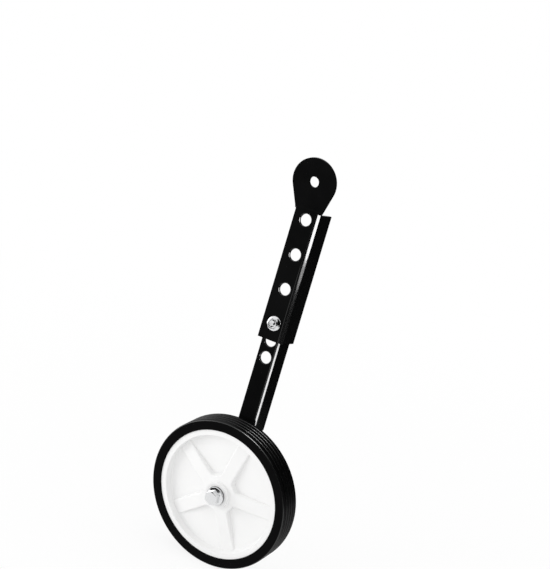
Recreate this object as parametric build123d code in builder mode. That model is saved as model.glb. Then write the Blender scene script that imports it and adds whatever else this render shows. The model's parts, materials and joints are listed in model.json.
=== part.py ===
from build123d import *
import os
from math import cos, radians, sin, sqrt

# Training wheel unit for a bicycle's rear axle.
# The origin is the axle hole, on the face that meets the bicycle. +Z is up, -Y is outward.
# Driving dimensions, in millimetres and degrees

# Sheet and folds
upper_sheet = 2.5
lower_sheet = 2.5
flare_angle = 12.0
fold_radius = 8.0

# Axle plate
axle_hole_dia = 10.5
plate_width = 47.0
axle_to_fold = 27.0

# Upper angle, with its flange on the right
upper_width = 27.0
upper_depth = 26.5
upper_inner_radius = 2.0
fold_to_flange = 2.5
fold_to_first_hole = 11.0
hole_pitch = 35.0
hole_count = 4
adjust_hole_dia = 12.0
upper_tail = 17.0

# Lower arm, a smaller angle behind the upper one
nest_gap = 0.3
corner_relief = 1.2
lower_width = 20.0
lower_depth = 21.5
lower_head = 10.0
lower_holes_above = 1
lower_holes_below = 2
bolt_to_lower_fold = 123.0
runout_length = 12.0
runout_to_fold = 3.0
fold_to_wheel = 49.5
foot_fold_length = 6.0

# Bolts, nuts and washers
bolt_play = 0.25
thread_gap = 0.05
flange_edge = 1.2
flange_slope = 0.9
tip_chamfer = 0.9
height_bolt_dia = 6.0
height_hex_flats = 10.0
height_hex_turn = 0.0
height_head_height = 4.0
height_nut_height = 5.6
height_nut_flange_dia = 14.6
height_tip_length = 0.8
wheel_bolt_dia = 8.0
wheel_hex_flats = 13.0
wheel_hex_turn = 30.0
wheel_head_height = 8.0
wheel_bolt_flange_dia = 19.0
wheel_nut_height = 6.5
wheel_tip_length = 2.5
height_washer_gap = 0.25
height_washer_thickness = 1.6
arm_washer_dia = 20.0
arm_washer_thickness = 1.6
lock_washer_dia = 14.4
lock_washer_thickness = 2.0
lock_washer_split = 1.2

# Wheel bearing
sleeve_dia = 12.0
running_gap = 0.05
bush_wall = 2.0
bush_length = 9.0
bush_flange_dia = 19.0
bush_flange_thickness = 1.5
bush_seat_gap = 0.02
end_play = 0.2

# Tyre
tyre_radius = 76.0
tyre_wall = 10.0
tyre_width = 24.8
tyre_standoff = 2.6
shoulder_radius = 1.5
groove_count = 4
groove_pitch = 4.6
groove_width = 1.4
groove_depth = 1.1
tyre_seat_gap = 0.1

# Moulded wheel disc
rim_inset = 1.1
rim_lip = 2.2
lip_height = 3.0
rim_wall = 2.4
recess_depth = 7.8
disc_thickness = 3.0
wall_draft = 1.5
hub_length = 24.8
hub_wall = 4.6
hub_draft = 1.0
spoke_count = 5
spoke_width = 16.0
spoke_phase = 1.5
spoke_rise = 6.0
spoke_toe = 0.8
spoke_draft = 12.0
spoke_corner = 5.0
hub_zone_radius = 20.0
rib_thickness = 2.4
rib_inset = 3.0
lip_round = 0.8
recess_round = 2.0
hub_round = 0.8
star_round = 1.5

# Directions, and places that follow from the dimensions
outward = Vector(0, -1, 0)
down_arm = Vector(0, -sin(radians(flare_angle)), -cos(radians(flare_angle)))
off_web = Vector(0, -cos(radians(flare_angle)), sin(radians(flare_angle)))
fold_point = Vector(0, -upper_sheet, -axle_to_fold)

bolt_drop = fold_to_first_hole + (hole_count - 1) * hole_pitch
upper_end = bolt_drop + upper_tail
upper_corner = upper_inner_radius + upper_sheet
lower_right = upper_width / 2 - upper_sheet - nest_gap
lower_left = lower_right - lower_width
lower_pitch = hole_pitch / 2
lower_corner = upper_inner_radius + corner_relief
lower_top = bolt_drop - lower_holes_above * lower_pitch - lower_head
lower_fold = bolt_drop + bolt_to_lower_fold
runout_end = lower_fold - runout_to_fold
runout_start = runout_end - runout_length
height_washer_dia = 2 * (lower_right - lower_corner - height_washer_gap)
web_stack = upper_sheet + lower_sheet
lower_back = upper_sheet + lower_depth
bolt_point = fold_point + down_arm * bolt_drop
foot_point = fold_point + down_arm * lower_fold - off_web * upper_sheet
wheel_point = foot_point - Vector(0, 0, fold_to_wheel)
foot_top = fold_to_wheel - foot_fold_length

# The stack along the wheel's axle, outward from the foot
inner_bush_face = arm_washer_thickness + end_play
hub_back = inner_bush_face + bush_flange_thickness
hub_front = hub_back + hub_length
outer_bush_face = hub_front + bush_flange_thickness
sleeve_end = outer_bush_face + end_play
bush_bore = sleeve_dia / 2 + running_gap
bush_radius = bush_bore + bush_wall
hub_bore = bush_radius + bush_seat_gap
hub_radius = hub_bore + hub_wall
wheel_bolt_hole = wheel_bolt_dia / 2 + bolt_play
height_bolt_hole = height_bolt_dia / 2 + bolt_play

# The wheel's rim and disc
rim_radius = tyre_radius - tyre_wall
tyre_front = tyre_standoff + tyre_width
tyre_middle = tyre_standoff + tyre_width / 2
rim_back = tyre_standoff + rim_inset
rim_front = tyre_front - rim_inset
seat_radius = rim_radius - lip_height
barrel_radius = seat_radius - rim_wall
disc_front = rim_front - recess_depth
disc_back = disc_front - disc_thickness
disc_radius = barrel_radius - wall_draft

# Front face of the arm's web, with Y up the arm
web_plane = Plane(origin=fold_point, x_dir=(1, 0, 0), z_dir=off_web)
# The arm from its side, with X down the arm and Y along the flange
side_plane = Plane(origin=fold_point, x_dir=down_arm, z_dir=(1, 0, 0))
# Seats of the height bolt's nut on the front face and of its washer behind the arm
nut_plane = Plane(origin=bolt_point, x_dir=(1, 0, 0), z_dir=off_web)
head_plane = Plane(origin=bolt_point - off_web * web_stack, x_dir=(1, 0, 0), z_dir=-off_web)
# Front and back faces of the foot at the wheel's axle
wheel_plane = Plane(origin=wheel_point, x_dir=(1, 0, 0), z_dir=outward)
foot_back_plane = Plane(origin=wheel_point - outward * lower_sheet, x_dir=(1, 0, 0), z_dir=-outward)

os.makedirs("parts", exist_ok=True)


def write(piece, name):
    piece.part.label = name
    export_step(piece.part, f"parts/{name}.step")


# A point as the side view shows it
def yz(point):
    return (point.Y, point.Z)


# Half section through a plane's own axis, with X along the radius and Y along the axis
def half_section(plane):
    return Plane(origin=plane.origin, x_dir=plane.x_dir, z_dir=-plane.y_dir)


def axis_of(plane):
    return Axis(plane.origin, plane.z_dir)


# Across the arm at a distance below the fold, with Y off the web
def arm_section(drop):
    return Plane(origin=fold_point + down_arm * drop, x_dir=(1, 0, 0), z_dir=down_arm)


# Folded angle section, a web with one flange behind its right edge, the sheet laid inside its outline
def angle_section(plane, left, right, front, depth, sheet, corner):
    with BuildSketch(plane) as section:
        with BuildLine():
            outline = FilletPolyline(
                (left, front),
                (right, front),
                (right, front - depth),
                radius=corner,
            )
            offset(outline, amount=sheet, side=Side.RIGHT)
        make_face()
    return section.sketch


# Upper bracket: an axle plate folded into an angle with a row of height holes
with BuildPart() as upper_bracket:
    with BuildSketch(Plane.YZ):
        with BuildLine():
            plate_front = FilletPolyline(
                (-upper_sheet, plate_width / 2),
                yz(fold_point),
                yz(fold_point + down_arm * fold_to_flange),
                radius=fold_radius,
            )
            offset(plate_front, amount=upper_sheet, side=Side.LEFT)
        make_face()
    extrude(amount=plate_width / 2, both=True)
    with BuildSketch(Plane.XZ):
        with BuildLine():
            CenterArc((0, 0), plate_width / 2, 0, 360)
            Polyline(
                (-upper_width / 2, -axle_to_fold),
                (upper_width / 2, -axle_to_fold),
                (upper_width / 2, -axle_to_fold - 2 * fold_to_flange),
                (-upper_width / 2, -axle_to_fold - 2 * fold_to_flange),
                close=True,
            )
        make_hull()
    extrude(amount=plate_width, both=True, mode=Mode.INTERSECT)
    upper_profile = angle_section(
        arm_section(fold_to_flange),
        left=-upper_width / 2,
        right=upper_width / 2,
        front=0,
        depth=upper_depth,
        sheet=upper_sheet,
        corner=upper_corner,
    )
    extrude(upper_profile, amount=upper_end - fold_to_flange)
    with BuildSketch(Plane.XZ):
        Circle(axle_hole_dia / 2)
    extrude(amount=2 * upper_sheet, both=True, mode=Mode.SUBTRACT)
    with BuildSketch(web_plane):
        for row in range(hole_count):
            with Locations((0, -fold_to_first_hole - row * hole_pitch)):
                Circle(adjust_hole_dia / 2)
    extrude(amount=-2 * upper_sheet, mode=Mode.SUBTRACT)
write(upper_bracket, "upper_bracket")

# Lower arm: a smaller angle whose flange runs out above a fold, with a flat round foot for the wheel
with BuildPart() as lower_arm:
    lower_profile = angle_section(
        arm_section(lower_top),
        left=lower_left,
        right=lower_right,
        front=-upper_sheet,
        depth=lower_depth,
        sheet=lower_sheet,
        corner=lower_corner,
    )
    extrude(lower_profile, amount=runout_end - lower_top)
    with BuildSketch(side_plane):
        Polygon(
            (runout_start, lower_back),
            (runout_end, web_stack),
            (runout_end, lower_back),
            align=None,
        )
    extrude(amount=lower_width, both=True, mode=Mode.SUBTRACT)
    with BuildSketch(Plane.YZ.offset(lower_left)):
        with BuildLine():
            foot_front = FilletPolyline(
                yz(fold_point + down_arm * runout_end - off_web * upper_sheet),
                yz(foot_point),
                yz(foot_point - Vector(0, 0, foot_fold_length)),
                radius=fold_radius,
            )
            offset(foot_front, amount=lower_sheet, side=Side.LEFT)
        make_face()
    extrude(amount=lower_width)
    with BuildSketch(wheel_plane):
        with BuildLine():
            CenterArc((0, 0), lower_width / 2, 0, 360)
            Line((lower_left, foot_top), (lower_right, foot_top))
        make_hull()
    extrude(amount=-lower_sheet)
    with BuildSketch(wheel_plane):
        Circle(wheel_bolt_hole)
    extrude(amount=-2 * lower_sheet, mode=Mode.SUBTRACT)
    with BuildSketch(web_plane):
        for row in range(-lower_holes_above, lower_holes_below + 1):
            with Locations((0, -bolt_drop - row * lower_pitch)):
                Circle(adjust_hole_dia / 2)
    extrude(amount=-2 * web_stack, mode=Mode.SUBTRACT)
write(lower_arm, "lower_arm")


# Turned outline of a hexagon's outer end, which bevels its six corners
def hex_turning(plane, flats, height):
    corner = flats / sqrt(3)
    bevel = (corner - flats / 2) / 2
    with BuildSketch(half_section(plane)) as outline:
        Polygon(
            (0, 0),
            (corner, 0),
            (corner, height - bevel),
            (flats / 2 - bevel, height),
            (0, height),
            align=None,
        )
    return outline.sketch


# Bearing flange under a hexagon, a thin edge with a sloped top
def flange_turning(plane, flats, flange_dia):
    with BuildSketch(half_section(plane)) as outline:
        Polygon(
            (0, 0),
            (flange_dia / 2, 0),
            (flange_dia / 2, flange_edge),
            (flats / 2, flange_edge + flange_slope),
            (0, flange_edge + flange_slope),
            align=None,
        )
    return outline.sketch


# Hexagon on the seat plane with bevelled corners, and with a bearing flange where it has one
def hex_block(seat, flats, turn, height, flange_dia=None):
    with BuildPart() as block:
        with BuildSketch(seat):
            RegularPolygon(flats / 2, 6, major_radius=False, rotation=turn)
        extrude(amount=height)
        revolve(hex_turning(seat, flats, height), axis=axis_of(seat), mode=Mode.INTERSECT)
        if flange_dia:
            revolve(flange_turning(seat, flats, flange_dia), axis=axis_of(seat))
    return block


# A bolt: its head is on the seat plane and its shank behind the plane
def hex_bolt(seat, head, shank_dia, shank_length):
    with BuildPart() as piece:
        add(head.part)
        with BuildSketch(half_section(seat)):
            Polygon(
                (0, 0),
                (shank_dia / 2, 0),
                (shank_dia / 2, tip_chamfer - shank_length),
                (shank_dia / 2 - tip_chamfer, -shank_length),
                (0, -shank_length),
                align=None,
            )
        revolve(axis=axis_of(seat))
    return piece


# A nut: its hexagon on the seat plane, bored for the shank
def hex_nut(seat, block, shank_dia, height):
    with BuildPart() as piece:
        add(block.part)
        with BuildSketch(seat):
            Circle(shank_dia / 2 + thread_gap)
        extrude(amount=height, mode=Mode.SUBTRACT)
    return piece


def washer(seat, hole, outer_dia, thickness, split=0):
    with BuildPart() as piece:
        with BuildSketch(seat):
            Circle(outer_dia / 2)
            Circle(hole, mode=Mode.SUBTRACT)
            if split:
                with Locations((0, outer_dia / 2)):
                    Rectangle(split, outer_dia, rotation=-flare_angle, mode=Mode.SUBTRACT)
        extrude(amount=thickness)
    return piece


# Height fastener: head and washer behind the arm, flange nut on the front
height_seat = head_plane.offset(height_washer_thickness)
height_grip = height_washer_thickness + web_stack + height_nut_height + height_tip_length
height_washer = washer(head_plane, height_bolt_hole, height_washer_dia, height_washer_thickness)
write(height_washer, "height_washer")
height_head = hex_block(height_seat, height_hex_flats, height_hex_turn, height_head_height)
height_bolt = hex_bolt(height_seat, height_head, height_bolt_dia, height_grip)
write(height_bolt, "height_bolt")
height_block = hex_block(
    nut_plane, height_hex_flats, height_hex_turn, height_nut_height, height_nut_flange_dia
)
height_nut = hex_nut(nut_plane, height_block, height_bolt_dia, height_nut_height)
write(height_nut, "height_nut")

# Wheel axle: the bolt clamps the sleeve and washer to the foot, so that the wheel runs free
bolt_seat = wheel_plane.offset(sleeve_end)
nut_seat = foot_back_plane.offset(lock_washer_thickness)
wheel_grip = sleeve_end + lower_sheet + lock_washer_thickness + wheel_nut_height + wheel_tip_length
wheel_head = hex_block(
    bolt_seat, wheel_hex_flats, wheel_hex_turn, wheel_head_height, wheel_bolt_flange_dia
)
wheel_bolt = hex_bolt(bolt_seat, wheel_head, wheel_bolt_dia, wheel_grip)
write(wheel_bolt, "wheel_bolt")
arm_washer = washer(wheel_plane, wheel_bolt_hole, arm_washer_dia, arm_washer_thickness)
write(arm_washer, "arm_washer")
lock_washer = washer(
    foot_back_plane, wheel_bolt_hole, lock_washer_dia, lock_washer_thickness, lock_washer_split
)
write(lock_washer, "lock_washer")
wheel_block = hex_block(nut_seat, wheel_hex_flats, wheel_hex_turn, wheel_nut_height)
wheel_nut = hex_nut(nut_seat, wheel_block, wheel_bolt_dia, wheel_nut_height)
write(wheel_nut, "wheel_nut")

with BuildPart() as wheel_sleeve:
    with BuildSketch(wheel_plane.offset(arm_washer_thickness)):
        Circle(sleeve_dia / 2)
        Circle(wheel_bolt_hole, mode=Mode.SUBTRACT)
    extrude(amount=sleeve_end - arm_washer_thickness)
write(wheel_sleeve, "wheel_sleeve")


# Flanged bush, its flange on the hub's end face and its barrel inside the hub
def bush(seat):
    with BuildPart() as piece:
        with BuildSketch(half_section(seat)):
            Polygon(
                (bush_bore, -bush_length),
                (bush_radius, -bush_length),
                (bush_radius, 0),
                (bush_flange_dia / 2, 0),
                (bush_flange_dia / 2, bush_flange_thickness),
                (bush_bore, bush_flange_thickness),
                align=None,
            )
        revolve(axis=axis_of(seat))
    return piece


hub_back_plane = Plane(origin=wheel_point + outward * hub_back, x_dir=(1, 0, 0), z_dir=-outward)
outer_bush = bush(wheel_plane.offset(hub_front))
write(outer_bush, "outer_bush")
inner_bush = bush(hub_back_plane)
write(inner_bush, "inner_bush")

# Tyre: a broad ribbed tread with a tongue that sits between the rim's lips
with BuildPart() as tyre:
    bead_radius = rim_radius + tyre_seat_gap
    tongue_radius = seat_radius + tyre_seat_gap
    tongue_back = rim_back + rim_lip + tyre_seat_gap
    tongue_front = rim_front - rim_lip - tyre_seat_gap
    with BuildSketch(half_section(wheel_plane)) as tyre_profile:
        Polygon(
            (tongue_radius, tongue_back),
            (bead_radius, tongue_back),
            (bead_radius, tyre_standoff),
            (tyre_radius, tyre_standoff),
            (tyre_radius, tyre_front),
            (bead_radius, tyre_front),
            (bead_radius, tongue_front),
            (tongue_radius, tongue_front),
            align=None,
        )
        fillet(tyre_profile.vertices().group_by(Axis.X)[-1], shoulder_radius)
        for groove in range(groove_count):
            groove_place = tyre_middle + (groove - (groove_count - 1) / 2) * groove_pitch
            with Locations((tyre_radius, groove_place)):
                Rectangle(2 * groove_depth, groove_width, mode=Mode.SUBTRACT)
    revolve(axis=axis_of(wheel_plane))
write(tyre, "tyre")

# Raised star of the disc: a round hub zone with arms under one crown that falls to the rim
with BuildPart() as star:
    with BuildSketch(wheel_plane.offset(disc_front - disc_thickness / 2)) as star_outline:
        Circle(hub_zone_radius)
        with PolarLocations(barrel_radius / 2, spoke_count, start_angle=spoke_phase):
            Rectangle(barrel_radius + rim_wall, spoke_width)
        inner_corners = star_outline.vertices().filter_by(lambda v: Vector(v).length < disc_radius)
        fillet(inner_corners, spoke_corner)
    extrude(amount=disc_thickness / 2 + spoke_rise, taper=spoke_draft)
    with BuildSketch(half_section(wheel_plane)):
        with BuildLine():
            crown = TangentArc(
                (0, disc_front + spoke_rise),
                (barrel_radius, disc_front + spoke_toe),
                tangent=(1, 0),
            )
            Polyline(crown @ 1, (barrel_radius, disc_back), (0, disc_back), crown @ 0)
        make_face()
    revolve(axis=axis_of(wheel_plane), mode=Mode.INTERSECT)
    crown_faces = star.faces().filter_by(GeomType.SPHERE)
    arm_ends = star.faces().filter_by(GeomType.CYLINDER)
    fillet(crown_faces.edges() - arm_ends.edges(), star_round)

# Wheel disc: rim with two lips, recessed web, hub and star, moulded in one piece
with BuildPart() as wheel_disc:
    with BuildSketch(half_section(wheel_plane)) as disc_profile:
        Polygon(
            (0, hub_back),
            (hub_radius, hub_back),
            (hub_radius + hub_draft, disc_back),
            (disc_radius, disc_back),
            (barrel_radius, rim_back),
            (rim_radius, rim_back),
            (rim_radius, rim_back + rim_lip),
            (seat_radius, rim_back + rim_lip),
            (seat_radius, rim_front - rim_lip),
            (rim_radius, rim_front - rim_lip),
            (rim_radius, rim_front),
            (barrel_radius, rim_front),
            (disc_radius, disc_front),
            (hub_radius + hub_draft, disc_front),
            (hub_radius, hub_front),
            (0, hub_front),
            align=None,
        )
        corners = disc_profile.vertices()
        fillet(corners.filter_by_position(Axis.Y, disc_back, disc_front), recess_round)
        lip_corners = corners.filter_by_position(Axis.X, barrel_radius, rim_radius)
        fillet(lip_corners.filter_by(lambda v: v.X != seat_radius), lip_round)
        hub_corners = corners.filter_by_position(Axis.X, hub_radius, hub_radius, (True, True))
        fillet(hub_corners, hub_round)
    revolve(axis=axis_of(wheel_plane))
    add(star.part)
    with BuildSketch(wheel_plane.offset(rim_back + rib_inset)):
        with PolarLocations(barrel_radius / 2, spoke_count, start_angle=spoke_phase):
            Rectangle(barrel_radius, rib_thickness)
    extrude(amount=disc_back - rim_back - rib_inset + disc_thickness / 2)
    with BuildSketch(wheel_plane.offset(hub_back)):
        Circle(hub_bore)
    extrude(amount=hub_length, mode=Mode.SUBTRACT)
write(wheel_disc, "wheel_disc")
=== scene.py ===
import json
from math import ceil, cos, pi, radians, sin, sqrt

import bmesh
import bpy
from mathutils import Matrix, Quaternion, Vector


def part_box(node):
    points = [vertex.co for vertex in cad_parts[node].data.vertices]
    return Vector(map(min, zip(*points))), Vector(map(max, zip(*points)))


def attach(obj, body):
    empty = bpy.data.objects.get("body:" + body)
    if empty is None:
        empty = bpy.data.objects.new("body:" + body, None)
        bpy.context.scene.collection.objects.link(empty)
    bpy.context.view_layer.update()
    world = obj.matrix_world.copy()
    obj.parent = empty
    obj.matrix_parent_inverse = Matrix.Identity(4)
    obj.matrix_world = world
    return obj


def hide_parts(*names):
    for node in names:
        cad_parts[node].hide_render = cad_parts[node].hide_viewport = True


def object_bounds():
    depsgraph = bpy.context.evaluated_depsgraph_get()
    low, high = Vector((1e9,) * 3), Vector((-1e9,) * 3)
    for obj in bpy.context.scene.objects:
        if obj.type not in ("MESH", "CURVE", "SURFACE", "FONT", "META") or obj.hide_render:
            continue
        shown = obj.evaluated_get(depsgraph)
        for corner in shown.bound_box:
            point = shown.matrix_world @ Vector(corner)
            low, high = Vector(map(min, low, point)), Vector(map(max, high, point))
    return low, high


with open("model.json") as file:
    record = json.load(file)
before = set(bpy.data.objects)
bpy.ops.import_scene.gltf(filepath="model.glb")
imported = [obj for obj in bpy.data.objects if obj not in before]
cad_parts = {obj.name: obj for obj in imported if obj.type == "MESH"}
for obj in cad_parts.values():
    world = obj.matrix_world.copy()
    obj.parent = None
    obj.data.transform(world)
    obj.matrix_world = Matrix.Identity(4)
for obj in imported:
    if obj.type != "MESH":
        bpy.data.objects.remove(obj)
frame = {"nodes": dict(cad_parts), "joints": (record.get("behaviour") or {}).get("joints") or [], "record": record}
cadLow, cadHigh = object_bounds()
print("frame: %d nodes" % len(frame["nodes"]))

mm = 0.001

# Places in the unit: the arms lean out below the fold, the wheel stands upright
layout = {
    "armTilt": radians(12),
    "foldPoint": Vector((0, -2.5 * mm, -27 * mm)),
    "boltDrop": 116 * mm,  # from the fold down the arm to the bolted hole
    "sheet": 2.5 * mm,  # both arms
    "headWasher": 1.6 * mm,
    "springWasher": 2.0 * mm,
    "hubFace": 29.8 * mm,  # from the foot out to the wheel bolt's seat
}
downArm = Vector((0, -sin(layout["armTilt"]), -cos(layout["armTilt"])))
offWeb = Vector((0, -cos(layout["armTilt"]), sin(layout["armTilt"])))
boltPoint = layout["foldPoint"] + downArm * layout["boltDrop"]
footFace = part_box("arm_washer")[1].y
wheelCentre = Vector((0, footFace, frame["joints"][0]["pos_m"][2]))
outward = Vector((0, -1, 0))


# A seat's own axes: Z off the seat, X along the unit's X, moved along Z by a lift
def seatMatrix(place, off, lift=0.0):
    side = Vector((1, 0, 0))
    turned = Matrix((side, off.cross(side), off)).transposed().to_4x4()
    turned.translation = place + off * lift
    return turned


# Shader helpers
def newMaterial(name):
    made = bpy.data.materials.new(name)
    made.use_nodes = True
    tree = made.node_tree
    return made, tree, tree.nodes["Principled BSDF"]


def addNode(tree, kind, **settings):
    node = tree.nodes.new(kind)
    for key, value in settings.items():
        setattr(node, key, value)
    return node


def setInputs(node, values):
    for key, value in values.items():
        node.inputs[key].default_value = value


def groupSockets(group, inputs, outputs):
    for name, kind, value in inputs:
        made = group.interface.new_socket(name=name, in_out="INPUT", socket_type=kind)
        made.default_value = value
    for name, kind in outputs:
        group.interface.new_socket(name=name, in_out="OUTPUT", socket_type=kind)
    return group.nodes.new("NodeGroupInput"), group.nodes.new("NodeGroupOutput")


# Two sizes of noise on the object's own coordinates: a broad patch mask and a fine grain height
def makeGrainGroup():
    group = bpy.data.node_groups.new("surfaceGrain", "ShaderNodeTree")
    given, put = groupSockets(
        group,
        [
            ("Patch Scale", "NodeSocketFloat", 40.0),
            ("Grain Scale", "NodeSocketFloat", 900.0),
            ("Stretch", "NodeSocketVector", (1.0, 1.0, 1.0)),
        ],
        [("Patch", "NodeSocketFloat"), ("Grain", "NodeSocketFloat")],
    )
    place = addNode(group, "ShaderNodeTexCoord")
    stretched = addNode(group, "ShaderNodeVectorMath", operation="MULTIPLY")
    patch = addNode(group, "ShaderNodeTexNoise")
    setInputs(patch, {"Detail": 3.0, "Roughness": 0.55})
    grain = addNode(group, "ShaderNodeTexNoise")
    setInputs(grain, {"Detail": 2.0, "Roughness": 0.5})
    link = group.links.new
    link(place.outputs["Object"], stretched.inputs[0])
    link(given.outputs["Stretch"], stretched.inputs[1])
    link(stretched.outputs["Vector"], patch.inputs["Vector"])
    link(stretched.outputs["Vector"], grain.inputs["Vector"])
    link(given.outputs["Patch Scale"], patch.inputs["Scale"])
    link(given.outputs["Grain Scale"], grain.inputs["Scale"])
    link(patch.outputs["Fac"], put.inputs["Patch"])
    link(grain.outputs["Fac"], put.inputs["Grain"])
    return group


# A piece's softened edges, broken up by noise: the higher the cover, the less is left
def makeRubGroup():
    steepness = 6.0
    group = bpy.data.node_groups.new("edgeRub", "ShaderNodeTree")
    given, put = groupSockets(
        group,
        [("Scale", "NodeSocketFloat", 300.0), ("Cover", "NodeSocketFloat", 0.5)],
        [("Rub", "NodeSocketFloat")],
    )
    place = addNode(group, "ShaderNodeTexCoord")
    broken = addNode(group, "ShaderNodeTexNoise")
    setInputs(broken, {"Detail": 4.0, "Roughness": 0.6})
    edge = addNode(group, "ShaderNodeAttribute", attribute_name="softEdge")
    above = addNode(group, "ShaderNodeMath", operation="SUBTRACT", use_clamp=True)
    sharper = addNode(group, "ShaderNodeMath", operation="MULTIPLY", use_clamp=True)
    sharper.inputs[1].default_value = steepness
    onEdge = addNode(group, "ShaderNodeMath", operation="MULTIPLY")
    link = group.links.new
    link(place.outputs["Object"], broken.inputs["Vector"])
    link(given.outputs["Scale"], broken.inputs["Scale"])
    link(broken.outputs["Fac"], above.inputs[0])
    link(given.outputs["Cover"], above.inputs[1])
    link(above.outputs["Value"], sharper.inputs[0])
    link(sharper.outputs["Value"], onEdge.inputs[0])
    link(edge.outputs["Fac"], onEdge.inputs[1])
    link(onEdge.outputs["Value"], put.inputs["Rub"])
    return group


grainGroup = makeGrainGroup()
rubGroup = makeRubGroup()


def useGroup(tree, group, values):
    node = addNode(tree, "ShaderNodeGroup", node_tree=group)
    setInputs(node, values)
    return node


# Map a span of a mask, the middle of a noise by default, to a span of roughness or of anything else
def spanOf(tree, source, span, sourceSpan=(0.3, 0.7)):
    node = addNode(tree, "ShaderNodeMapRange")
    ends = ("From Min", "From Max", "To Min", "To Max")
    setInputs(node, dict(zip(ends, (*sourceSpan, *span))))
    tree.links.new(source, node.inputs["Value"])
    return node.outputs["Result"]


def mixColours(tree, mask, first, second):
    node = addNode(tree, "ShaderNodeMix", data_type="RGBA")
    for socket, colour in ((node.inputs[6], first), (node.inputs[7], second)):
        if isinstance(colour, tuple):
            socket.default_value = (*colour, 1.0)
        else:
            tree.links.new(colour, socket)
    tree.links.new(mask, node.inputs[0])
    return node.outputs[2]


def bumpFrom(tree, height, distance, strength):
    node = addNode(tree, "ShaderNodeBump")
    setInputs(node, {"Strength": strength, "Distance": distance})
    tree.links.new(height, node.inputs["Height"])
    return node.outputs["Normal"]


# What the finishes share: two tones in patches, roughness that goes with them and a fine bump
def grainedFinish(name, look):
    made, tree, shader = newMaterial(name)
    grain = useGroup(tree, grainGroup, look["grain"])
    tone = mixColours(tree, grain.outputs["Patch"], *look["tones"])
    tree.links.new(tone, shader.inputs["Base Color"])
    tree.links.new(spanOf(tree, grain.outputs["Patch"], look["rough"]), shader.inputs["Roughness"])
    tree.links.new(bumpFrom(tree, grain.outputs["Grain"], *look["bump"]), shader.inputs["Normal"])
    return made, tree, shader, grain, tone


# Black powder coat: deep black with a fine skin, glossier where the press tools stretched it over
# the bends and rims, faint rub on the cut edges
def makeBlackCoat():
    look = {
        "tones": ((0.002, 0.002, 0.0021), (0.004, 0.004, 0.0041)),
        "rubbed": (0.03, 0.03, 0.031),
        "grain": {"Patch Scale": 38.0, "Grain Scale": 1100.0},
        "rub": {"Scale": 420.0, "Cover": 0.58},
        "rough": (0.2, 0.28),
        "bump": (0.02 * mm, 0.1),
        "gloss": (0.8, 1.0),
        "glossGrain": (0.4, 0.6),
    }
    made, tree, shader, grain, tone = grainedFinish("blackCoat", look)
    rub = useGroup(tree, rubGroup, look["rub"])
    tree.links.new(mixColours(tree, rub.outputs["Rub"], tone, look["rubbed"]), shader.inputs["Base Color"])
    stretched = addNode(tree, "ShaderNodeAttribute", attribute_name="stretched")
    gloss = addNode(tree, "ShaderNodeMath", operation="MULTIPLY")
    tree.links.new(stretched.outputs["Fac"], gloss.inputs[0])
    tree.links.new(spanOf(tree, grain.outputs["Grain"], look["gloss"], look["glossGrain"]), gloss.inputs[1])
    tree.links.new(gloss.outputs["Value"], shader.inputs["Coat Weight"])
    setInputs(shader, {"Coat Roughness": 0.07, "Specular IOR Level": 0.035})
    return made


# Bright zinc plate with fine drawn lines and a clouded passivate
def makeZincPlate():
    look = {
        "tones": ((0.82, 0.825, 0.83), (0.72, 0.725, 0.735)),
        "grain": {"Patch Scale": 230.0, "Grain Scale": 2600.0, "Stretch": (1.0, 0.35, 1.0)},
        "rough": (0.12, 0.18),
        "bump": (0.02 * mm, 0.4),
    }
    made, tree, shader, grain, tone = grainedFinish("zincPlate", look)
    setInputs(shader, {"Metallic": 1.0})
    return made


# Moulded rubber: matt black with a fine grain and duller patches, the ribs' lips rubbed bright
def makeTyreRubber():
    look = {
        "tones": ((0.0013, 0.0013, 0.0014), (0.0028, 0.0028, 0.0029)),
        "grain": {"Patch Scale": 55.0, "Grain Scale": 2200.0},
        "lip": {"Scale": 60.0, "Cover": 0.1},
        "rough": (0.42, 0.56),
        "bump": (0.05 * mm, 0.4),
    }
    made, tree, shader, grain, tone = grainedFinish("tyreRubber", look)
    lip = useGroup(tree, rubGroup, look["lip"])
    tree.links.new(lip.outputs["Rub"], shader.inputs["Coat Weight"])
    setInputs(shader, {"Coat Roughness": 0.22, "Specular IOR Level": 0.03})
    return made


# White moulded plastic, a touch of flow marks in the gloss
def makeWhitePlastic():
    look = {
        "tones": ((0.9, 0.9, 0.897), (0.875, 0.875, 0.871)),
        "grain": {"Patch Scale": 30.0, "Grain Scale": 1500.0},
        "rough": (0.3, 0.42),
        "bump": (0.02 * mm, 0.25),
    }
    return grainedFinish("whitePlastic", look)[0]


# Dark nylon of the plain bearings
def makeBushPlastic():
    look = {
        "tones": ((0.05, 0.05, 0.053), (0.085, 0.085, 0.09)),
        "grain": {"Patch Scale": 180.0, "Grain Scale": 3200.0},
        "rough": (0.45, 0.6),
        "bump": (0.02 * mm, 0.3),
    }
    return grainedFinish("bushPlastic", look)[0]


finishes = {
    "black_coat": makeBlackCoat(),
    "zinc_plate": makeZincPlate(),
    "tyre_rubber": makeTyreRubber(),
    "white_plastic": makeWhitePlastic(),
    "bush_plastic": makeBushPlastic(),
}
slotOf = {part["node"]: part["material_slot"] for part in frame["record"]["subparts"]}
bodyOf = {node: body for body, nodes in frame["record"]["behaviour"]["bodies"].items() for node in nodes}
for name, node in frame["nodes"].items():
    node.data.materials.clear()
    node.data.materials.append(finishes[slotOf[name]])
print("finishes: %d materials" % len(finishes))

# Limits in the meshes: points this near are one, faces this flat are one, edges this steep are sharp
limits = {
    "frameMerge": 0.002 * mm,
    "shellMerge": 0.0005 * mm,
    "threadMerge": 0.001 * mm,
    "planeNear": 0.0001 * mm,
    "axisNear": 0.0001 * mm,
    "flat": radians(0.3),
    "sharp": radians(30),
    "sharpHex": radians(25),
    "smooth": radians(32),
}


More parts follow.
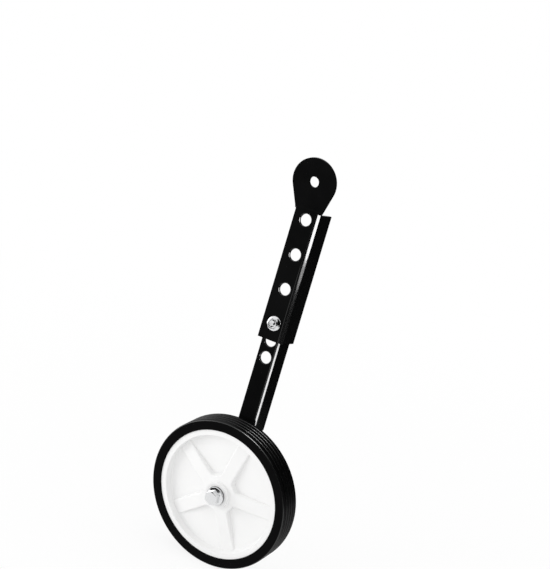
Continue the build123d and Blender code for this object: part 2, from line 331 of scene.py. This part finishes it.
# A finished piece stands for its node, on the node's body and with its finish
def finishPiece(bm, name, node):
    mesh = bpy.data.meshes.new(name)
    bm.to_mesh(mesh)
    bm.free()
    mesh.materials.clear()
    mesh.materials.append(finishes[slotOf[node]])
    mesh.shade_smooth()
    mesh.set_sharp_from_angle(angle=limits["smooth"])
    piece = bpy.data.objects.new(name, mesh)
    bpy.context.scene.collection.objects.link(piece)
    flatFirst = piece.modifiers.new("flatFirst", "WEIGHTED_NORMAL")
    flatFirst.keep_sharp = True
    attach(piece, bodyOf[node])
    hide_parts(node)


# Round over a set of edges, and mark the new faces as soft edge
def roundEdges(bm, edges, width, segments, clamp=True):
    mark = bm.faces.layers.float.get("softEdge") or bm.faces.layers.float.new("softEdge")
    made = bmesh.ops.bevel(
        bm,
        geom=edges,
        offset=width,
        offset_type="OFFSET",
        segments=segments,
        profile=0.5,
        affect="EDGES",
        clamp_overlap=clamp,
        material=-1,
    )
    for face in made["faces"]:
        face[mark] = 1.0
    return made["faces"]


def sharpEdges(bm, angle=limits["sharp"]):
    return [e for e in bm.edges if e.is_manifold and e.calc_face_angle() > angle]


# Copy of a node with its loose triangles joined and its flat faces made whole
def wholeCopy(node):
    bm = bmesh.new()
    bm.from_mesh(frame["nodes"][node].data)
    bmesh.ops.remove_doubles(bm, verts=bm.verts[:], dist=limits["frameMerge"])
    bmesh.ops.dissolve_limit(
        bm,
        angle_limit=limits["flat"],
        use_dissolve_boundaries=False,
        verts=bm.verts[:],
        edges=bm.edges[:],
    )
    return bm


# The two folded arms: punched holes with rolled rims on the front, other cut edges deburred
armEdges = {
    "holeRadius": 6.0 * mm,
    "rimTolerance": 0.05 * mm,
    # width and steps of each rounding
    "rim": (0.8 * mm, 5),
    "back": (0.2 * mm, 2),  # the holes' other rims
    "cut": (0.4 * mm, 3),
    "facing": 0.05,  # a bend faces off the web and sideways by more than this, and along the arm by less
}
foldedArms = {
    # node: piece, front face behind the upper web, drops of the hole centres from the fold
    "upper_bracket": ("axleBracket", 0.0, [11 * mm, 46 * mm, 81 * mm, layout["boltDrop"]]),
    "lower_arm": ("heightArm", layout["sheet"], [98.5 * mm, layout["boltDrop"], 133.5 * mm, 151 * mm]),
}


def onRim(place, centre, depth):
    apart = place - centre
    lift = apart.dot(offWeb)
    radius = (apart - offWeb * lift).length
    near = armEdges["rimTolerance"]
    return abs(lift + depth) < near and abs(radius - armEdges["holeRadius"]) < near


def rimEdges(bm, centres, depth):
    return [e for e in bm.edges if any(all(onRim(v.co, c, depth) for v in e.verts) for c in centres)]


def onBend(normal):
    least = armEdges["facing"]
    return normal.dot(offWeb) > least and normal.x > least and abs(normal.dot(downArm)) < least


for node, (name, behind, drops) in foldedArms.items():
    bm = wholeCopy(node)
    centres = [layout["foldPoint"] + downArm * drop - offWeb * behind for drop in drops]
    stretched = bm.faces.layers.float.new("stretched")
    rolled = roundEdges(bm, rimEdges(bm, centres, 0), *armEdges["rim"], clamp=False)
    bend = [f for f in bm.faces if onBend(f.normal)]
    for face in rolled + bend:
        face[stretched] = 1.0
    roundEdges(bm, rimEdges(bm, centres, layout["sheet"]), *armEdges["back"])
    roundEdges(bm, sharpEdges(bm), *armEdges["cut"])
    finishPiece(bm, name, node)
    print("%s: %d holes with rolled rims" % (name, len(centres)))

# Washers, sleeve and bushes with their edges just broken
brokenEdges = {
    "arm_washer": ("armWasher", 0.2 * mm),
    "height_washer": ("headWasher", 0.2 * mm),
    "lock_washer": ("springWasher", 0.2 * mm),
    "wheel_sleeve": ("axleSleeve", 0.3 * mm),
    "outer_bush": ("outerBush", 0.25 * mm),
    "inner_bush": ("innerBush", 0.25 * mm),
}
brokenSteps = 2
for node, (name, edge) in brokenEdges.items():
    bm = wholeCopy(node)
    roundEdges(bm, sharpEdges(bm), edge, brokenSteps)
    finishPiece(bm, name, node)
print("edges broken on %d small pieces" % len(brokenEdges))


# Spin an outline of (radius, height, corner radius) about Z into a closed shell
def turnedShell(outline, steps, cornerSteps=3):
    bm = bmesh.new()
    corners = [bm.verts.new((radius, 0, height)) for radius, height, soft in outline]
    bm.faces.new(corners)
    for soft in sorted({soft for radius, height, soft in outline if soft}):
        bmesh.ops.bevel(
            bm,
            geom=[corner for corner, point in zip(corners, outline) if point[2] == soft],
            offset=soft,
            offset_type="OFFSET",
            segments=cornerSteps,
            profile=0.5,
            affect="VERTICES",
            material=-1,
        )
    bmesh.ops.delete(bm, geom=bm.faces[:], context="FACES_ONLY")
    onAxis = [e for e in bm.edges if all(abs(v.co.x) < limits["axisNear"] for v in e.verts)]
    bmesh.ops.delete(bm, geom=onAxis, context="EDGES")
    bmesh.ops.spin(
        bm,
        geom=bm.verts[:] + bm.edges[:],
        cent=(0, 0, 0),
        axis=(0, 0, 1),
        angle=2 * pi,
        steps=steps,
        use_merge=True,
        use_duplicate=False,
    )
    bmesh.ops.remove_doubles(bm, verts=bm.verts[:], dist=limits["shellMerge"])
    bmesh.ops.recalc_face_normals(bm, faces=bm.faces[:])
    return bm


# Tyre: broad ribbed tread, rounded shoulders, and a tongue that sits between the rim's lips
tyreForm = {
    "radius": 76 * mm,
    "bead": 66.1 * mm,
    "tongue": 63.1 * mm,
    "back": 2.6 * mm,  # from the foot's face
    "front": 27.4 * mm,
    "tongueBack": 6.0 * mm,
    "tongueFront": 24.0 * mm,
    "shoulder": 1.5 * mm,
    "beadRound": 0.5 * mm,
    "grooves": 4,
    "groovePitch": 4.6 * mm,
    "grooveWidth": 1.4 * mm,
    "grooveDepth": 1.1 * mm,
    "grooveLip": 0.6 * mm,
    "grooveFoot": 0.35 * mm,
    "lipFacing": (0.2, 0.98),  # how far a lip's faces turn to the side
    "steps": 216,
    "cornerSteps": 4,
}


def makeTyre():
    form = tyreForm
    middle = (form["back"] + form["front"]) / 2
    floorRadius = form["radius"] - form["grooveDepth"]
    outline = [
        (form["tongue"], form["tongueBack"], 0),
        (form["bead"], form["tongueBack"], 0),
        (form["bead"], form["back"], form["beadRound"]),
        (form["radius"], form["back"], form["shoulder"]),
    ]
    for groove in range(form["grooves"]):
        place = middle + (groove - (form["grooves"] - 1) / 2) * form["groovePitch"]
        start = place - form["grooveWidth"] / 2
        end = place + form["grooveWidth"] / 2
        outline += [
            (form["radius"], start, form["grooveLip"]),
            (floorRadius, start, form["grooveFoot"]),
            (floorRadius, end, form["grooveFoot"]),
            (form["radius"], end, form["grooveLip"]),
        ]
    outline += [
        (form["radius"], form["front"], form["shoulder"]),
        (form["bead"], form["front"], form["beadRound"]),
        (form["bead"], form["tongueFront"], 0),
        (form["tongue"], form["tongueFront"], 0),
    ]
    bm = turnedShell(outline, form["steps"], form["cornerSteps"])
    mark = bm.faces.layers.float.new("softEdge")
    least, most = form["lipFacing"]
    for face in bm.faces:  # the rounded lips of the ribs and the shoulders
        onTread = face.calc_center_median().to_2d().length > floorRadius + form["grooveFoot"]
        face[mark] = 1.0 if onTread and least < abs(face.normal.z) < most else 0.0
    bmesh.ops.transform(bm, matrix=seatMatrix(wheelCentre, outward), verts=bm.verts[:])
    finishPiece(bm, "ribbedTyre", "tyre")


makeTyre()
print("tyre: %d grooves" % tyreForm["grooves"])


# Two closed shells made one by a boolean, through objects that are gone afterwards
def combine(base, extra, operation="UNION"):
    holders = []
    for bm in (base, extra):
        mesh = bpy.data.meshes.new("blank")
        bm.to_mesh(mesh)
        bm.free()
        holders.append(bpy.data.objects.new("blank", mesh))
        bpy.context.scene.collection.objects.link(holders[-1])
    cut = holders[0].modifiers.new("cut", "BOOLEAN")
    cut.operation = operation
    cut.solver = "EXACT"
    cut.object = holders[1]
    shown = holders[0].evaluated_get(bpy.context.evaluated_depsgraph_get())
    made = bpy.data.meshes.new_from_object(shown)
    result = bmesh.new()
    result.from_mesh(made)
    bpy.data.meshes.remove(made)
    for holder in holders:
        mesh = holder.data
        bpy.data.objects.remove(holder)
        bpy.data.meshes.remove(mesh)
    bmesh.ops.remove_doubles(result, verts=result.verts[:], dist=limits["shellMerge"])
    bmesh.ops.dissolve_degenerate(result, edges=result.edges[:], dist=limits["shellMerge"])
    return result


# Keep what lies behind a plane
def cutOff(bm, place, away):
    bmesh.ops.bisect_plane(
        bm,
        geom=bm.verts[:] + bm.edges[:] + bm.faces[:],
        dist=limits["planeNear"],
        plane_co=place,
        plane_no=away,
        clear_outer=True,
    )


def fillOpenings(bm):
    bmesh.ops.holes_fill(bm, edges=[e for e in bm.edges if e.is_boundary], sides=0)


# Sizes shared by the four fasteners
hexForm = {
    "flangeEdge": 1.2 * mm,
    "flangeSlope": 0.9 * mm,
    "flangeRound": 0.35 * mm,
    "flangeInset": 0.3 * mm,  # the slope runs on into the hexagon
    "edge": (0.18 * mm, 2),  # width and steps of the rounding
    "tipChamfer": 0.9 * mm,
    "tipMargin": 1 * mm,  # past the thread, where the tip's cone only has to clear it
    "shankOverlap": 0.5 * mm,  # plain part into the head and the thread
    "shankRound": 0.4 * mm,
    "threadGap": 0.05 * mm,
    "mouth": 0.75 * mm,  # countersink of a nut's bore
    "steps": 96,
}


# Hexagon from a turned blank: six cuts leave the bevelled corners, a bore makes it a nut's
def hexBlock(flats, turn, height, bore=0.0):
    corner = flats / sqrt(3)
    bevel = (corner - flats / 2) / 2
    mouth = hexForm["mouth"]
    outline = [
        (corner, 0, 0),
        (corner, height - bevel, 0),
        (flats / 2 - bevel, height, 0),
    ]
    if bore:
        outline += [(bore + mouth, height, 0), (bore, height - mouth, 0), (bore, 0, 0)]
    else:
        outline += [(0, height, 0), (0, 0, 0)]
    bm = turnedShell(outline, hexForm["steps"])
    for side in range(6):
        angle = turn + radians(30 + 60 * side)
        off = Vector((cos(angle), sin(angle), 0))
        cutOff(bm, off * flats / 2, off)
        fillOpenings(bm)
    bmesh.ops.recalc_face_normals(bm, faces=bm.faces[:])
    roundEdges(bm, sharpEdges(bm, limits["sharpHex"]), *hexForm["edge"])
    return bm


# Bearing flange under a hexagon, bored where it belongs to a nut
def flangeRing(flats, flangeDia, bore=0.0):
    edge = hexForm["flangeEdge"]
    inset = hexForm["flangeInset"]
    top = edge + hexForm["flangeSlope"] * (1 + inset / (flangeDia / 2 - flats / 2))
    outline = [
        (bore, 0, 0),
        (flangeDia / 2, 0, 0),
        (flangeDia / 2, edge, hexForm["flangeRound"]),
        (flats / 2 - inset, top, 0),
        (bore, top, 0),
    ]
    return turnedShell(outline, hexForm["steps"])


threadForm = {
    "perTurn": 40,
    "depth": 0.6,  # as shares of the pitch
    "crest": (0.44, 0.56),
    "spareTurns": 2,
}


# Screw thread along Z: one pitch of outline wound up by a spin, cut square at both ends
def threadRod(radius, pitch, length):
    perTurn = threadForm["perTurn"]
    turns = ceil(length / pitch) + threadForm["spareTurns"]
    root = radius - threadForm["depth"] * pitch
    crest = [(radius, share * pitch) for share in threadForm["crest"]]
    bm = bmesh.new()
    ridge = [bm.verts.new((r, 0, z - pitch)) for r, z in [(root, 0), *crest, (root, pitch)]]
    for low, high in zip(ridge, ridge[1:]):
        bm.edges.new((low, high))
    bmesh.ops.spin(
        bm,
        geom=bm.verts[:] + bm.edges[:],
        cent=(0, 0, 0),
        axis=(0, 0, 1),
        dvec=(0, 0, pitch / perTurn),
        angle=2 * pi * turns,
        steps=perTurn * turns,
        use_duplicate=False,
    )
    bmesh.ops.remove_doubles(bm, verts=bm.verts[:], dist=limits["threadMerge"])
    cutOff(bm, (0, 0, 0), (0, 0, -1))
    cutOff(bm, (0, 0, length), (0, 0, 1))
    fillOpenings(bm)
    bmesh.ops.recalc_face_normals(bm, faces=bm.faces[:])
    return bm


# Shank below the head: plain for most of its length, threaded to a bevelled tip
def boltShank(radius, pitch, length, threaded):
    bevel = hexForm["tipChamfer"]
    margin = hexForm["tipMargin"]
    cone = turnedShell(
        [
            (0, -margin, 0),
            (radius + margin, -margin, 0),
            (radius + margin, threaded - bevel - margin, 0),
            (radius - bevel, threaded, 0),
            (0, threaded, 0),
        ],
        hexForm["steps"],
    )
    tip = combine(threadRod(radius, pitch, threaded), cone, "INTERSECT")
    bmesh.ops.rotate(tip, verts=tip.verts[:], cent=(0, 0, 0), matrix=Matrix.Rotation(pi, 3, "X"))
    bmesh.ops.translate(tip, verts=tip.verts[:], vec=(0, 0, threaded - length))
    overlap = hexForm["shankOverlap"]
    end = threaded - length - overlap
    plain = turnedShell(
        [(0, overlap, 0), (radius, overlap, 0), (radius, end, hexForm["shankRound"]), (0, end, 0)],
        hexForm["steps"],
    )
    return combine(plain, tip)


fasteners = {
    # M6 flange nut on the front of the arms, its bolt from behind
    "height_nut": {
        "piece": "heightNut", "seat": seatMatrix(boltPoint, offWeb),
        "flats": 10 * mm, "turn": 0.0, "height": 5.6 * mm, "flange": 14.6 * mm, "shank": 6 * mm,
    },
    "height_bolt": {
        "piece": "heightBolt",
        "seat": seatMatrix(boltPoint, -offWeb, 2 * layout["sheet"] + layout["headWasher"]),
        "flats": 10 * mm, "turn": 0.0, "height": 4.0 * mm, "shank": 6 * mm,
        "pitch": 1.0 * mm, "length": 13.0 * mm, "threaded": 10.0 * mm,
    },
    # M8 flange bolt through the wheel, its nut behind the foot
    "wheel_bolt": {
        "piece": "wheelBolt", "seat": seatMatrix(wheelCentre, outward, layout["hubFace"]),
        "flats": 13 * mm, "turn": radians(30), "height": 8.0 * mm, "flange": 19 * mm, "shank": 8 * mm,
        "pitch": 1.25 * mm, "length": 43.3 * mm, "threaded": 14.0 * mm,
    },
    "wheel_nut": {
        "piece": "wheelNut",
        "seat": seatMatrix(wheelCentre, -outward, layout["sheet"] + layout["springWasher"]),
        "flats": 13 * mm, "turn": radians(30), "height": 6.5 * mm, "shank": 8 * mm,
    },
}


def makeFastener(node, form):
    isNut = "length" not in form
    bore = form["shank"] / 2 + hexForm["threadGap"] if isNut else 0.0
    bm = hexBlock(form["flats"], form["turn"], form["height"], bore)
    if "flange" in form:
        bm = combine(bm, flangeRing(form["flats"], form["flange"], bore))
    if not isNut:
        bm = combine(bm, boltShank(form["shank"] / 2, form["pitch"], form["length"], form["threaded"]))
    bmesh.ops.transform(bm, matrix=form["seat"], verts=bm.verts[:])
    bmesh.ops.recalc_face_normals(bm, faces=bm.faces[:])
    loose = [e for e in bm.edges if not e.is_manifold]
    print("%s: %d faces, %d open edges" % (form["piece"], len(bm.faces), len(loose)))
    finishPiece(bm, form["piece"], node)


for node, form in fasteners.items():
    makeFastener(node, form)

# Camera, at the photograph's place
cameraSet = {
    "place": Vector((0.5901, -1.1794, 0.3354)),
    "aim": Vector((-0.0291, 0.0152, -0.1182)),
    "roll": radians(11.08),
    "lens": 90.11,
    "sensor": 36,  # along the picture's long side
    "far": 50,
}
lens = bpy.data.cameras.new("studioCamera")
lens.lens = cameraSet["lens"]
lens.sensor_width = cameraSet["sensor"]
lens.clip_end = cameraSet["far"]
camera = bpy.data.objects.new("studioCamera", lens)
bpy.context.scene.collection.objects.link(camera)
camera.location = cameraSet["place"]
camera.rotation_mode = "QUATERNION"
straight = (cameraSet["aim"] - cameraSet["place"]).to_track_quat("-Z", "Y")
camera.rotation_quaternion = straight @ Quaternion((0, 0, 1), cameraSet["roll"])
bpy.context.scene.camera = camera


# Soft lamps, each turned to a point; a gloss lamp only shows in the pieces it is set on
def areaLamp(name, form):
    lamp = bpy.data.lights.new(name, "AREA")
    lamp.shape = "RECTANGLE"
    lamp.size, lamp.size_y = form["size"]
    lamp.energy = form["power"]
    holder = bpy.data.objects.new(name, lamp)
    bpy.context.scene.collection.objects.link(holder)
    holder.location = form["place"]
    back = (Vector(form["place"]) - Vector(form["aim"])).normalized()
    side = Vector(form["up"]).cross(back).normalized()
    holder.rotation_mode = "QUATERNION"
    holder.rotation_quaternion = Matrix((side, back.cross(side), back)).transposed().to_quaternion()
    if form["glossOn"]:
        holder.visible_diffuse = False
        holder.visible_camera = False
        lit = bpy.data.collections.new(name + "Lit")
        for piece in form["glossOn"]:
            lit.objects.link(bpy.data.objects[piece])
        holder.light_linking.receiver_collection = lit


# The strips at the side stand square to the arm, so their reflections run along its bends
upright = (0, 0, 1)
alongArm = tuple(-downArm)
lampSet = {
    "keyLamp": {
        "place": (-1.8, -1.3, 0.2), "aim": (0, -0.05, -0.25), "up": upright,
        "size": (1.2, 1.2), "power": 12, "glossOn": [],
    },
    "upperStrip": {
        "place": (0.4645, -0.172, 0.205), "aim": (0.0115, 0.0347, 0.161), "up": alongArm,
        "size": (0.72, 0.6), "power": 36, "glossOn": ["axleBracket"],
    },
    "fadeStrip": {  # where the upper strip's reflection dies away
        "place": (0.4645, -0.2319, -0.107), "aim": (0.0115, -0.0252, -0.151), "up": alongArm,
        "size": (0.72, 0.043), "power": 0.52, "glossOn": ["axleBracket"],
    },
    "lowerStrip": {
        "place": (0.4645, -0.2665, -0.2695), "aim": (0.0115, -0.0598, -0.3135), "up": alongArm,
        "size": (0.6, 0.141), "power": 5.7, "glossOn": ["heightArm"],
    },
    "topGloss": {  # shows in the lips of the tyre's ribs
        "place": (0.12, -0.48, 0.9), "aim": (0.03, -0.08, -0.25), "up": (0, 1, 0),
        "size": (0.5, 0.7), "power": 20, "glossOn": ["ribbedTyre"],
    },
    "rimGloss": {  # shows in the rolled rims of the holes
        "place": (0.186, -0.525, 0.165), "aim": (0, -0.02, -0.1), "up": upright,
        "size": (0.16, 0.16), "power": 2.0, "glossOn": ["axleBracket", "heightArm"],
    },
}
for name, form in lampSet.items():
    areaLamp(name, form)


# Rays that see the studio itself: the camera's, reflected and refracted ones
def seenMask(tree):
    path = addNode(tree, "ShaderNodeLightPath")
    first = addNode(tree, "ShaderNodeMath", operation="ADD", use_clamp=True)
    second = addNode(tree, "ShaderNodeMath", operation="ADD", use_clamp=True)
    tree.links.new(path.outputs["Is Camera Ray"], first.inputs[0])
    tree.links.new(path.outputs["Is Glossy Ray"], first.inputs[1])
    tree.links.new(first.outputs["Value"], second.inputs[0])
    tree.links.new(path.outputs["Is Transmission Ray"], second.inputs[1])
    return second.outputs["Value"]


studio = {
    "ambient": 0.985,
    "floorSize": 30.0,
    "floorGap": 0.2 * mm,  # below the wheel
    "floorGlow": 0.85,  # near the wheel, where the rest of the floor's light can be shaded
    "glowNear": 0.25,  # distances from the wheel between which the glow rises to plain white
    "glowFar": 0.9,
    "floorColour": (0.92, 0.92, 0.92, 1.0),
}
world = bpy.data.worlds.new("studioWorld")
bpy.context.scene.world = world
world.use_nodes = True
worldTree = world.node_tree
backdrop = worldTree.nodes["Background"]
backdrop.inputs["Color"].default_value = (1, 1, 1, 1)
level = addNode(worldTree, "ShaderNodeMapRange")
setInputs(level, {"To Min": studio["ambient"], "To Max": 1.0})
worldTree.links.new(seenMask(worldTree), level.inputs["Value"])
worldTree.links.new(level.outputs["Result"], backdrop.inputs["Strength"])


def stagePiece(bm, name, material):
    mesh = bpy.data.meshes.new(name)
    bm.to_mesh(mesh)
    bm.free()
    mesh.materials.append(material)
    piece = bpy.data.objects.new(name, mesh)
    bpy.context.scene.collection.objects.link(piece)
    return piece


# Pale floor under the wheel: white to the eye, and it keeps the shadow
def makeFloor():
    bm = bmesh.new()
    bmesh.ops.create_grid(bm, x_segments=2, y_segments=2, size=studio["floorSize"] / 2)
    bmesh.ops.translate(bm, verts=bm.verts[:], vec=(0, 0, cadLow.z - studio["floorGap"]))
    made, tree, shader = newMaterial("studioFloor")
    tree.nodes.remove(shader)
    matt = addNode(tree, "ShaderNodeBsdfDiffuse")
    matt.inputs["Color"].default_value = studio["floorColour"]
    glow = addNode(tree, "ShaderNodeEmission")
    place = addNode(tree, "ShaderNodeTexCoord")
    apart = addNode(tree, "ShaderNodeVectorMath", operation="DISTANCE")
    apart.inputs[1].default_value = (0, wheelCentre.y, cadLow.z)
    tree.links.new(place.outputs["Object"], apart.inputs[0])
    rise = addNode(tree, "ShaderNodeMapRange", interpolation_type="SMOOTHSTEP")
    setInputs(
        rise,
        {
            "From Min": studio["glowNear"],
            "From Max": studio["glowFar"],
            "To Min": studio["floorGlow"],
            "To Max": 1.0,
        },
    )
    tree.links.new(apart.outputs["Value"], rise.inputs["Value"])
    share = addNode(tree, "ShaderNodeMath", operation="MULTIPLY")
    tree.links.new(seenMask(tree), share.inputs[0])
    tree.links.new(rise.outputs["Result"], share.inputs[1])
    both = addNode(tree, "ShaderNodeMixShader")
    tree.links.new(share.outputs["Value"], both.inputs["Fac"])
    tree.links.new(matt.outputs["BSDF"], both.inputs[1])
    tree.links.new(glow.outputs["Emission"], both.inputs[2])
    tree.links.new(both.outputs["Shader"], tree.nodes["Material Output"].inputs["Surface"])
    stagePiece(bm, "studioFloor", made)


# Dark flags that only reflections see: the gloss black and the metal need something dark to show
flagSet = {
    # centre, what it faces, width and height
    "frontFlag": ((-0.4, -0.84, 0.185), (0, -0.03, -0.02), (0.34, 0.40)),
    "lowFrontFlag": ((-0.4, -0.84, -0.262), (0, -0.03, -0.22), (0.34, 0.217)),  # the gap lights the nut
    "noseFlag": ((0.105, -0.885, 0.2), (0, -0.03, -0.14), (0.68, 0.7)),
    "sideFlag": ((0.519, -0.2535, -0.07), (0.0115, -0.022, -0.119), (1.3, 0.8)),
    "lowFlag": ((-0.18, -0.39, -0.295), (0, -0.087, -0.295), (0.36, 0.145)),
    "backFlag": ((0.24, 0.2, -0.065), (0.24, 0, -0.065), (0.52, 0.63)),
}
flagLook = {"Base Color": (0.004, 0.004, 0.004, 1.0), "Roughness": 1.0, "Specular IOR Level": 0.0}


def makeFlags():
    made, tree, shader = newMaterial("flagCloth")
    setInputs(shader, flagLook)
    for name, (place, aim, size) in flagSet.items():
        bm = bmesh.new()
        bmesh.ops.create_grid(bm, x_segments=2, y_segments=2, size=0.5)
        bmesh.ops.scale(bm, verts=bm.verts[:], vec=(*size, 1))
        facing = (Vector(aim) - Vector(place)).to_track_quat("Z", "Y").to_matrix()
        bmesh.ops.rotate(bm, verts=bm.verts[:], cent=(0, 0, 0), matrix=facing)
        bmesh.ops.translate(bm, verts=bm.verts[:], vec=place)
        flag = stagePiece(bm, name, made)
        flag.visible_camera = False
        flag.visible_diffuse = False
        flag.visible_transmission = False
        flag.visible_shadow = False


makeFloor()
makeFlags()
print("studio: %d lamps, the floor and %d flags" % (len(lampSet), len(flagSet)))

bpy.context.scene.view_settings.view_transform = "Standard"
